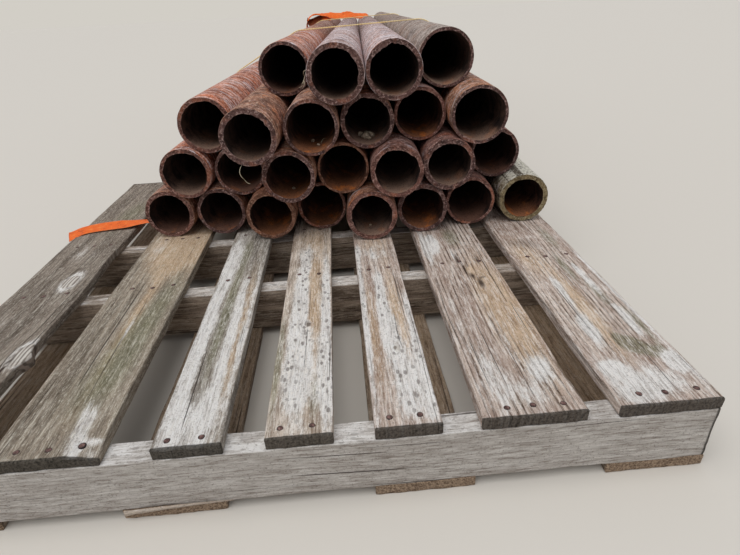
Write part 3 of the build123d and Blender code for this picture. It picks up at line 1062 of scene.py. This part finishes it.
def even_steps(path, step, *others):
    """The path's points, and other rows of numbers that go with them, set again at even
    distances along it."""
    run = np.concatenate([[0], np.cumsum(np.linalg.norm(np.diff(path, axis=0), axis=1))])
    marks = np.linspace(0, run[-1], max(4, round(run[-1] / step)) + 1)
    placed = [np.stack([np.interp(marks, run, column) for column in table.T], -1)
              for table in (path, *others)]
    return marks, *placed


def tight_loop(step):
    """The outline of all pipes: the point in direction u is c + (r + reach) u for the pipe
    whose c . u + r is largest. Returns distances, points and outward directions."""
    circles = np.array([pipe_circle(name) for name in pipe_looks])
    turn = np.linspace(0, 2 * np.pi, 9000)
    facing = np.stack([np.cos(turn), np.sin(turn)], -1)
    touched = (circles[:, :2] @ facing.T + circles[:, 2:]).argmax(axis=0)
    outline = circles[touched, :2] + (circles[touched, 2:] + twine_reach) * facing
    return even_steps(outline, step, facing)


def twine_fibre(name):
    """Yellow plastic fibre: two yellows mixed by fine noise, and paler where it is frayed."""
    r = Recipe(name)
    fine = r.grains(r.stretch(r.place(), (900, 300, 900)), 1.0, 3, 0.6)
    colour = r.mix(r.between(fine, 0.35, 0.65), paint(226, 190, 122), paint(255, 234, 178))
    faded = r.between(r.grains(r.place(), 9, 3), 0.45, 0.62)
    return r.finish(r.layer(colour, faded, 0.5, paint(240, 222, 182)), 0.7, 0.3)


def make_twine(node, material, seed):
    """Two strands. Strand k is the loop plus offset (cos f n + sin f y), where n points
    outwards and f = 2 pi s / pitch + k pi, and each is a tube round its own line."""
    low, high = cad_box(node)
    distance, outline, facing = (row[:-1] for row in tight_loop(2.4))
    facing = facing / np.linalg.norm(facing, axis=1, keepdims=True)
    turns = round(distance[-1] / twist_pitch)
    phase = distance / (distance[-1] + distance[1]) * turns * 2 * np.pi
    outwards = xyz(facing[:, 0], 0, facing[:, 1])
    sideways = np.array([0.0, 1.0, 0.0])
    middle = xyz(outline[:, 0], (low[1] + high[1]) / 2, outline[:, 1])
    section = np.linspace(0, 2 * np.pi, strand_sides, endpoint=False)[None, :, None]
    spokes = np.cos(section) * outwards[:, None] + np.sin(section) * sideways
    strands = []
    for strand in range(2):
        wind = (phase + strand * np.pi)[:, None]
        line = middle + strand_offset * (np.cos(wind) * outwards + np.sin(wind) * sideways)
        thick = strand_radius * (1 + 0.12 * noise(line + seed, 9, seed))[:, None, None]
        tube = line[:, None] + thick * spokes
        strands.append((tube.reshape(-1, 3), grid_quads(*tube.shape[:2], rows_close=True)))
    add_piece(f"{node}_strands", *joined(strands), (material,), "twine", node)


fibre = twine_fibre("twine_fibre")
for seed, node in enumerate(("front_twine", "rear_twine"), 1):
    make_twine(node, fibre, seed)
print("2 twine loops")

# %% [markdown]
# ## Webbing strap
# Webbing is woven flat, so it bends easily one way and hardly at all sideways. Off duty it
# keeps the kinks of the ratchet: here its slack is thrown over the top row in a fold, and
# its tail lies over the near pallet with one edge up. Each run is a path with a direction
# across it, swept by a flat section whose height follows noise.

# %% Webbing
webbing_width = 50.0
webbing_thick = 1.8
webbing_columns = 15
rib_gap = 5.5
weave_gap = 2.4


def smooth_path(points, rounds=4):
    """Corner cutting: each stretch is replaced by its quarter and three-quarter points,
    again and again, and the two ends stay."""
    points = np.asarray(points, float)
    for _ in range(rounds):
        near, far = points[:-1], points[1:]
        cut = np.stack([0.75 * near + 0.25 * far, 0.25 * near + 0.75 * far], 1)
        points = np.concatenate([points[:1], cut.reshape(-1, points.shape[1]), points[-1:]])
    return points


def webbing(name):
    """Woven orange polyester: ribs along it, a fine cross weave, grime on the ribs, and the
    inside of a fold painted dark as shade.
    """
    r = Recipe(name)
    run, side = r.attribute("run"), r.attribute("side")
    rib = r.math("SINE", r.times(side, 2 * math.pi / rib_gap))
    weave = r.math("SINE", r.times(run, 2 * math.pi / weave_gap))
    grime = r.grains(r.place(), 60, 4, 0.7)
    colour = r.mix(r.between(rib, -0.9, 0.6), paint(228, 88, 12), paint(255, 122, 36))
    colour = r.layer(colour, r.between(grime, 0.54, 0.68), 0.5, paint(255, 164, 84))
    colour = r.layer(colour, r.between(grime, 0.44, 0.34), 0.5, paint(170, 66, 26))
    from_middle = r.math("ABSOLUTE", r.less(side, webbing_width / 2))
    colour = r.layer(colour, r.between(from_middle, 22.5, 24.5), 0.6, paint(252, 150, 96))
    # Painted shade: the inside of the fold is darkened.
    colour = r.mix(r.attribute("grimy"), colour, paint(44, 26, 20))
    r.bump(r.plus(rib, r.times(weave, 0.4)), 0.0005, 0.8)
    return r.finish(colour, 0.65, 0.35)


def make_ribbon(path, side, lift, grimy=None):
    """A flat closed strip. A point at distance s and width w lies at P + w S + z N, with
    S across the strip, T along it, N = T x S, and z from lift(s, w) and the thickness.
    The last argument says how dark each path point is painted, as shade inside a fold.
    Gives points, quads and attributes."""
    grimy = np.zeros((len(path), 1)) if grimy is None else grimy[:, None]
    distance, path, side, grimy = even_steps(path, 3.0, side, grimy)
    side = side / np.linalg.norm(side, axis=1, keepdims=True)
    normal = np.cross(np.gradient(path, axis=0), side)
    normal = normal / np.linalg.norm(normal, axis=1, keepdims=True)
    width = np.linspace(0, webbing_width, webbing_columns)
    above = np.repeat([webbing_thick / 2, -webbing_thick / 2], webbing_columns)
    above[[0, webbing_columns - 1, webbing_columns, -1]] *= 0.4
    s, w = np.broadcast_arrays(distance[:, None], np.concatenate([width, width[::-1]]))
    rise = (lift(s, w) + above)[..., None]
    points = path[:, None] + w[..., None] * side[:, None] + rise * normal[:, None]
    rows, columns = s.shape
    step = np.arange(webbing_columns - 1)
    cap = np.stack([step, step + 1, columns - 2 - step, columns - 1 - step], -1)
    quads = np.concatenate([grid_quads(rows, columns, rows_close=False), cap[:, ::-1],
                            cap + (rows - 1) * columns])
    grimy = np.broadcast_to(grimy, s.shape)
    return points.reshape(-1, 3), quads, {"run": s, "side": w, "grimy": grimy}


def add_ribbons(name, node, material, *ribbons):
    """One mesh from several ribbons, each turned so that its faces look outwards."""
    turned = joined([(points, outward(points, quads)) for points, quads, _ in ribbons])
    attributes = {key: np.concatenate([held[key].ravel() for _, _, held in ribbons])
                  for key in ("run", "side", "grimy")}
    add_piece(name, *turned, (material,), "orange_webbing", node, attributes)


def round_pipe(name, angle, rise):
    """A point at an angle round a pipe and a rise above its surface."""
    x, z, radius = pipe_circle(name)
    turn = math.radians(angle)
    return x + (radius + rise) * math.cos(turn), z + (radius + rise) * math.sin(turn)


def crumple(size, amount, seed):
    """A lift for make_ribbon: soft noise that is strongest at the strip's two edges."""
    def lift(s, w):
        edge = 0.4 + 0.6 * np.abs(2 * w / webbing_width - 1)
        return amount * rough(xyz(s, w, seed), size, seed) * edge
    return lift


def leaning(*places):
    """A smooth line through places over the pipes: x, z and how far it leans along y."""
    return smooth_path([(*point, lean) for point, lean in places])


# %% [markdown]
# Dropped as a cloth, the strap would not fall into the folds of the real one. So each run
# follows points set round the pipes. The slack runs up from the third row, folds over the
# first pipe of the top row and lies across the next two, with a second run folded back
# under it. The tail comes up between the first two boards, lies over the first and hangs
# over its left edge.

# %% Make the strap
slack_y = cad_box("strap_slack")[0][1]
first_x, first_z, first_radius = pipe_circle("top_row_pipe_1")
second_x = pipe_circle("top_row_pipe_2")[0]
fold_x = first_x - first_radius
top_z = first_z + first_radius
upper = leaning(
    (round_pipe("third_row_pipe_1", 42, 1.5), 0.0),
    (round_pipe("third_row_pipe_1", 42, 34), 0.0),
    ((fold_x - 48, first_z + 22), 0.0),
    ((fold_x - 40, top_z + 4), 0.1),
    ((fold_x - 12, top_z + 26), 0.05),
    ((fold_x + 22, top_z + 27), 0.05),
    ((first_x - 4, top_z + 20), 0.3),
    ((first_x + 26, top_z + 8), 0.62),
    ((second_x - 24, top_z + 3), 0.66),
    (round_pipe("top_row_pipe_2", 90, 4), 0.62),
    (round_pipe("top_row_pipe_2", 62, 8), 0.6),
    (round_pipe("top_row_pipe_3", 122, 6), 0.55),
    (round_pipe("top_row_pipe_3", 104, 4), 0.4),
    (round_pipe("top_row_pipe_3", 92, 3), 0.1))
under = leaning(
    ((fold_x - 40, top_z + 2), 0.3),
    ((fold_x - 34, first_z + 28), 1.0),
    ((fold_x - 4, first_z + 34), 1.05),
    (round_pipe("top_row_pipe_1", 128, 3), 0.8),
    (round_pipe("top_row_pipe_1", 104, 3), 0.55),
    (round_pipe("top_row_pipe_1", 80, 3), 0.4),
    (round_pipe("top_row_pipe_1", 62, 4), 0.3))
strips = []
for seed, (line, amount) in enumerate(((upper, 4.0), (under, 3.0)), 3):
    x, z, lean = line.T
    # Painted shade: the under run darkens towards the fold, whose inside lies in shade.
    dark = smooth_step(fold_x + 62, fold_x + 30, x) * (0.8 if line is under else 0)
    strips.append(make_ribbon(xyz(x, slack_y, z), xyz(0, 1, lean),
                              crumple((26, 20, 30), amount, seed), dark))
orange = webbing("orange_weave")
add_ribbons("strap_slack_webbing", "strap_slack", orange, *strips)

tail_rest = 745.0
tail_left = -16.0
deck_top = cad_box("near_pallet_deck_board_1")[1][2]
deck_corner = np.mean(cad_box("near_pallet_stringer_1"), axis=0)
deck_corner -= along_pallet * board_length / 2 + into_pallet * stringer_size[0] / 2
deck_corner[2] = 0


def on_deck(across, into, height):
    """A point on the near deck: distances from its left edge and front, and a height."""
    return (deck_corner + across * along_pallet + into * into_pallet
            + (deck_top + height) * upward)


tail_path = smooth_path([on_deck(*place) for place in (
    (192, tail_rest + 8, -13), (190, tail_rest + 8, 4), (180, tail_rest + 7, 13),
    (152, tail_rest + 5, 10), (112, tail_rest + 2, 4), (66, tail_rest, 2.5),
    (34, tail_rest - 6, 2.5), (12, tail_rest - 18, 1.5), (tail_left + 7, tail_rest - 37, -6))])
share = np.linspace(0, 1, len(tail_path))
tilt = np.interp(share, [0, 0.25, 0.4, 0.55, 0.8, 1], [-0.33, -0.3, -0.1, 0.08, 0.08, 0.16])
swing = np.interp(share, [0, 0.68, 1], [0, 0, 0.42])
tail_across = into_pallet + tilt[:, None] * upward - swing[:, None] * along_pallet
add_ribbons("strap_tail_webbing", "strap_tail", orange,
            make_ribbon(tail_path, tail_across, crumple((60, 30, 30), 1.2, 9)))
print("2 runs of webbing")

# %% [markdown]
# ## Loose dirt
# Scale that has flaked off lies in a few bores, and straw has blown into a few mouths.
# Small stones of scale are spheres pushed by noise, and a straw is a thin bent tube.

# %% Flakes and straw
def lumps(centres, sizes, seed):
    """Closed rough balls: direction u times size times 1 + noise."""
    polar, turn = np.meshgrid(np.linspace(0, np.pi, 9)[1:-1],
                              np.linspace(0, 2 * np.pi, 12, endpoint=False), indexing="ij")
    ball = xyz(np.sin(polar) * np.cos(turn), np.sin(polar) * np.sin(turn), np.cos(polar))
    ball = np.concatenate([ball.reshape(-1, 3), [[0, 0, 1], [0, 0, -1]]])
    faces = capped_quads(*turn.shape)
    balls = []
    for number, (centre, size) in enumerate(zip(centres, sizes)):
        bumpy = 1 + 0.35 * rough(ball * 10 + number * 31, 9, seed)
        balls.append((ball * bumpy[:, None] * size + centre, faces))
    return joined(balls)


def straws(ends, thick):
    """Thin bent tubes between pairs of points: a point at share t of the way is moved by
    4 t (1 - t) of the bend."""
    share = np.linspace(0, 1, 9)[:, None]
    section = np.linspace(0, 2 * np.pi, 5, endpoint=False)
    ring = xyz(np.cos(section), 0, np.sin(section))
    narrow = thick * (1 - 0.75 * np.abs(2 * share - 1) ** 4)
    faces = capped_quads(len(share), len(ring))
    tubes = []
    for start, end, bend in np.array(ends, float):
        line = start + (end - start) * share + bend * 4 * share * (1 - share)
        tube = (line[:, None] + narrow[:, None] * ring).reshape(-1, 3)
        tubes.append((np.concatenate([tube, line[[0, -1]]]), faces))
    return joined(tubes)


def in_bore(name, angle, depth_in, inset=9.5):
    """A point on a pipe's bore, depth_in behind its front end."""
    x, z, radius = pipe_circle(name)
    turn = math.radians(angle)
    return (x + (radius - inset) * math.cos(turn), cad_box(name)[0][1] + depth_in,
            z + (radius - inset) * math.sin(turn))


crumbs = [
    ("third_row_pipe_4", 264, 58, 8.0), ("third_row_pipe_4", 281, 66, 7.0),
    ("third_row_pipe_4", 250, 74, 6.0), ("third_row_pipe_4", 274, 46, 5.0),
    ("third_row_pipe_4", 270, 84, 7.0), ("second_row_pipe_3", 268, 70, 3.4),
    ("third_row_pipe_3", 280, 52, 3.0), ("third_row_pipe_3", 262, 88, 3.8),
    ("bottom_row_pipe_5", 265, 60, 3.2)]
crumb_shape = np.array([1.15, 1.1, 0.9])
bore_inset = 8.6
centres = [in_bore(name, angle, depth_in, bore_inset + size * 0.75)
           for name, angle, depth_in, size in crumbs]
scale_rust = rust_specks("loose_scale", ((132, 112, 94), (188, 170, 148), (222, 206, 186)), 260)
add_piece("loose_scale", *lumps(centres, [size * crumb_shape for *_, size in crumbs], 5),
          (scale_rust,), "rusted_iron")
wisps = [
    (in_bore("top_row_pipe_1", 318, -4), in_bore("top_row_pipe_1", 352, 12), (0, -6, -5)),
    (in_bore("top_row_pipe_1", 306, -6), in_bore("top_row_pipe_1", 334, -8), (3, -4, -4)),
    (in_bore("top_row_pipe_1", 330, 6), in_bore("top_row_pipe_1", 312, -10, 2), (4, -7, 2)),
    (in_bore("top_row_pipe_1", 340, -2), in_bore("top_row_pipe_1", 358, -9, 4), (-5, -3, 3)),
    (in_bore("third_row_pipe_2", 250, -5, 3), in_bore("third_row_pipe_2", 258, -14, -22),
     (-6, -3, 0)),
    (in_bore("third_row_pipe_2", 258, -14, -22), in_bore("third_row_pipe_2", 266, -12, -30),
     (0, 0, -3)),
    (in_bore("third_row_pipe_3", 285, 60), in_bore("third_row_pipe_3", 300, 84), (0, 0, 5)),
]
straw = Recipe("straw").finish(paint(206, 194, 166), 0.8, 0.2)
add_piece("straw_wisps", *straws(wisps, 0.5), (straw,), "twine")
print(f"{len(crumbs)} flakes, {len(wisps)} straws")

# %% [markdown]
# A long sliver has split off along the lower edge of the front stringer. Cut from the
# stringer's grid it would need far finer steps there, so it is a thin cone of its own, in
# the tan wood of the fourth board.

# %% Splinter under the front stringer
def splinter(start, end, half_high, half_thick, bend, seed):
    """A sliver between two points, thick at its start and drawn out to a tip: ring k is an
    ellipse whose height shrinks as 1 - t, pushed by noise."""
    share = np.linspace(0, 1, 40)
    line = start + (end - start) * share[:, None] + bend * (share * (1 - share))[:, None]
    turn = np.linspace(0, 2 * np.pi, 10, endpoint=False)
    uneven = 1 + 0.25 * noise(line, 14, seed)
    high = (half_high * (1 - share) ** 0.8 * uneven + 0.3)[:, None, None]
    thick = (half_thick * (1 - 0.7 * share))[:, None, None]
    ring = np.sin(turn)[:, None] * upward * high - np.cos(turn)[:, None] * into_pallet * thick
    points = np.concatenate([(line[:, None] + ring).reshape(-1, 3), line[:1], line[-1:]])
    run = np.repeat(share * np.linalg.norm(end - start), len(turn))
    lane = np.tile(8 * np.sin(turn), len(share))
    quads = capped_quads(len(share), len(turn))
    return points, quads, np.append(run, [0, run[-1]]), np.append(lane, [0, 0])


left_end = on_deck(348, -2.2, 15 - deck_top)
right_end = on_deck(492, -1.2, 20.5 - deck_top)
points, quads, run, lane = splinter(left_end, right_end, 4.5, 2.0, 6 * upward, 7)
nothing = np.zeros((len(run), 3))
split_wood = weathered_wood("wood_splinter", 77, tan_wood, 0.1, 5.0, 0.5)
add_piece(
    "stringer_splinter", points, quads, (split_wood,), "weathered_wood",
    attributes={"ring": lane, "along": run, "lane": lane, "care": nothing, "wear": nothing})

# %% [markdown]
# ## Floor and light
# The bundle is shown on a plain pale floor. A hard lamp would hide the rust's colours in
# deep shadow, so the light is that of an overcast day: an even world, and one sun so wide
# that its shadows have no edge. Only the camera sees the world's plainer backdrop colour.

# %% Floor
floor_colour = paint(214, 208, 199)
floor_reach = 80
floor_corners = [(x * floor_reach, y * floor_reach, 0)
                 for x, y in ((-1, -1), (1, -1), (1, 1), (-1, 1))]
floor_mesh = bpy.data.meshes.new("floor")
floor_mesh.from_pydata(floor_corners, [], [(0, 1, 2, 3)])
floor = bpy.data.objects.new("floor", floor_mesh)
bpy.context.scene.collection.objects.link(floor)
floor_mesh.materials.append(Recipe("pale_floor").finish(floor_colour, 0.95, 0.05))

# %% Sky and sun
sky_strength = 0.5
sun_strength = 1.67
sun_width = math.radians(60)
sun_heading = Vector((0.22, 0.3, -1.0))
world = bpy.data.worlds.new("sky")
bpy.context.scene.world = world
world.use_nodes = True
tree = world.node_tree
sky = tree.nodes["Background"]
sky.inputs["Color"].default_value = (0.93, 0.96, 1.0, 1)
sky.inputs["Strength"].default_value = sky_strength
backdrop = tree.nodes.new("ShaderNodeBackground")
backdrop.inputs["Color"].default_value = paint(210, 206, 198)
seen = tree.nodes.new("ShaderNodeLightPath")
choose = tree.nodes.new("ShaderNodeMixShader")
tree.links.new(seen.outputs["Is Camera Ray"], choose.inputs[0])
tree.links.new(sky.outputs[0], choose.inputs[1])
tree.links.new(backdrop.outputs[0], choose.inputs[2])
tree.links.new(choose.outputs[0], tree.nodes["World Output"].inputs["Surface"])

sun_data = bpy.data.lights.new("cloud_light", "SUN")
sun_data.energy = sun_strength
sun_data.angle = sun_width
sun = bpy.data.objects.new("cloud_light", sun_data)
bpy.context.scene.collection.objects.link(sun)
sun.rotation_euler = sun_heading.to_track_quat("-Z", "Y").to_euler()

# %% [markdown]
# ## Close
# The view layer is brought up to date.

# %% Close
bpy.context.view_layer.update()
